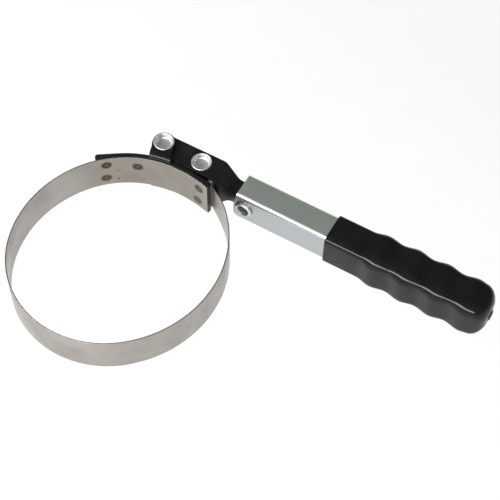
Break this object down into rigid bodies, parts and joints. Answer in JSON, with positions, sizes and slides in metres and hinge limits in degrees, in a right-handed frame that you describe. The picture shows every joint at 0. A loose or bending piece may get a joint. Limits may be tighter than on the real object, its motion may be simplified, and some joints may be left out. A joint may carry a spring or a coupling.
{
  "type": "oil filter wrench",
  "caption": "Band wrench that grips a round oil filter canister: a thin strap loop drawn tight by a pivoting lever with a folding, vinyl-gripped handle.",
  "frame": {"origin": "on the axis of the band's seat arc, half way up the band", "axes": "+Z along the filter's axis, +X along the handle from head to grip, +Y from the loop towards the handle's line"},
  "size_m": [0.2253, 0.1294, 0.03],
  "materials": {
    "band_steel": "satin stainless strap with brown spot weld marks",
    "black_paint": "semi-gloss black paint over stamped steel",
    "bright_zinc": "bright zinc",
    "zinc_plate": "zinc plated sheet with drawn lines",
    "black_vinyl": "glossy dipped vinyl"
  },
  "bodies": {
    "head": {"band_loop": "band_steel", "band_run": "band_steel", "shoe": "black_paint", "shoe_pin": "bright_zinc"},
    "lever": {"lever_upper": "black_paint", "lever_lower": "black_paint", "band_pin": "bright_zinc"},
    "handle": {"handle_channel": "zinc_plate", "handle_rivet": "bright_zinc", "vinyl_grip": "black_vinyl"},
    "strap_end": {"band_eye": "band_steel"}
  },
  "joints": [
    {"name": "lever_pivot", "type": "hinge", "parent": "head", "child": "lever", "pos_m": [-0.01, 0.0682, 0], "axis": [0, 0, 1], "range_deg": [0, 25]},
    {"name": "handle_swivel", "type": "hinge", "parent": "lever", "child": "handle", "pos_m": [0.0404, 0.0682, 0], "axis": [0, 1, 0], "range_deg": [-15, 90]},
    {"name": "strap_draw", "type": "slide", "parent": "head", "child": "strap_end", "axis": [-0.2164, 0.9763, 0], "range_m": [0, 0.0096], "deforming": ["band_run"]}
  ],
  "couplings": [
    {"joint": "strap_draw", "follows": "lever_pivot", "m_per_rad": 0.021826}
  ]
}
